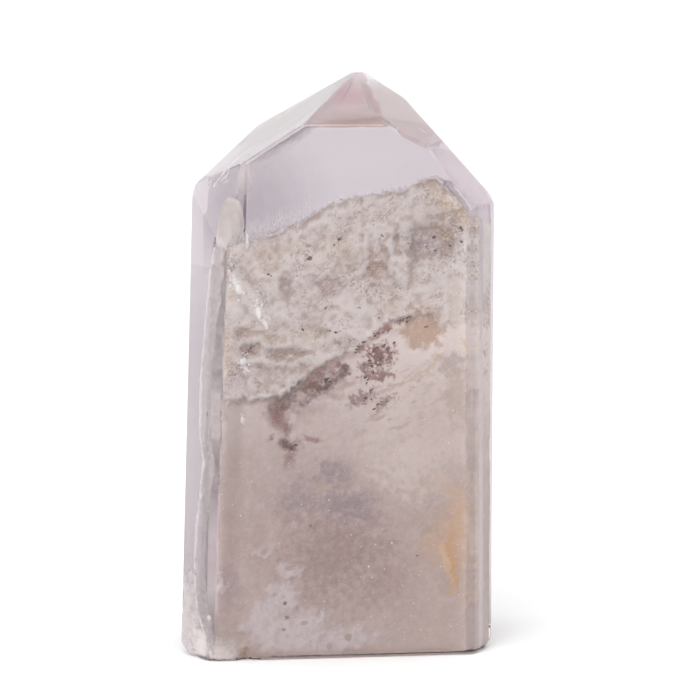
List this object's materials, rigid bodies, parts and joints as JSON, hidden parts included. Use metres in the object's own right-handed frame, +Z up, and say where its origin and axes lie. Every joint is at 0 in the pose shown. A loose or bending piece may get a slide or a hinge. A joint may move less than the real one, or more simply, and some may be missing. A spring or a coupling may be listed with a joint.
{
  "type": "lithium quartz point",
  "caption": "Polished standing point of clear lilac quartz with a clouded older crystal inside and a flat cut base.",
  "frame": {"origin": "middle of the object's box, on the plane of the flat base it stands on", "axes": "+Z up through the point, broad front face towards -Y, +X to the right seen from the front"},
  "size_m": [0.0408, 0.026, 0.0737],
  "materials": {
    "clear_quartz": "polished clear quartz with a pale lilac tint",
    "phantom_inclusion": "clouded mauve and tan mineral with maroon and grey stains"
  },
  "bodies": {
    "root": {"clear_quartz": "clear_quartz", "phantom_inclusion": "phantom_inclusion"}
  },
  "joints": []
}
